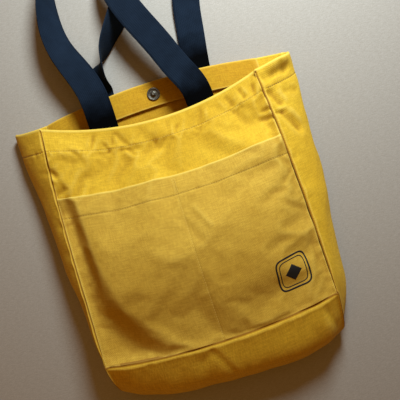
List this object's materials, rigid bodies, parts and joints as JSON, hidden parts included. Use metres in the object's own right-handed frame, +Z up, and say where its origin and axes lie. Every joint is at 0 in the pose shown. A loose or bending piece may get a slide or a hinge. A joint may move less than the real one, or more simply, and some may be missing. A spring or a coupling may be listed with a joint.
{
  "type": "foldable tote bag",
  "caption": "Soft canvas tote bag lying on its back, with a full-width divided front pocket, webbing handles and a magnetic snap at the mouth.",
  "frame": {"origin": "centre of the back panel's outer face, on the surface that the empty bag lies on", "axes": "+X across the bag to its right side seen from the front, +Y from the base towards the mouth, +Z up out of the front panel"},
  "size_m": [0.391, 0.6601, 0.0683],
  "materials": {
    "canvas": "mustard yellow cotton twill, matt",
    "webbing": "dark navy ribbed webbing, matt",
    "snap_metal": "antique nickel, satin",
    "snap_magnet": "dark sintered ferrite"
  },
  "bodies": {
    "bag": {"back_panel": "canvas", "base_panel": "canvas", "left_gusset": "canvas", "right_gusset": "canvas", "facing_back": "canvas", "facing_left": "canvas", "facing_right": "canvas", "snap_post_washer": "snap_metal", "snap_post_prongs": "snap_metal", "snap_post_cover": "snap_metal", "snap_post": "snap_metal"},
    "front": {"front_panel": "canvas", "front_pocket": "canvas", "facing_front": "canvas", "snap_socket_washer": "snap_metal", "snap_socket_prongs": "snap_metal", "snap_socket_magnet": "snap_magnet", "snap_socket_case": "snap_metal"},
    "front_strap": {"front_handle": "webbing"},
    "back_strap": {"back_handle": "webbing"}
  },
  "joints": [
    {"name": "mouth_close", "type": "slide", "parent": "bag", "child": "front", "axis": [-0.1487, -0.9337, 0.3256], "range_m": [-0.06051, 0], "deforming": ["left_gusset", "right_gusset", "base_panel", "facing_left", "facing_right", "front_handle", "back_handle"]},
    {"name": "front_handle_swing", "type": "hinge", "parent": "front", "child": "front_strap", "pos_m": [-0.007, 0.1159, 0.0326], "axis": [1, 0, 0], "range_deg": [0, 150], "deforming": ["front_handle"]},
    {"name": "back_handle_swing", "type": "hinge", "parent": "bag", "child": "back_strap", "pos_m": [0, 0.1641, 0.0026], "axis": [1, 0, 0], "range_deg": [0, 120], "deforming": ["back_handle"]}
  ],
  "couplings": [
    {"joint": "back_handle_swing", "follows": "front_handle_swing", "ratio": 0.8}
  ]
}
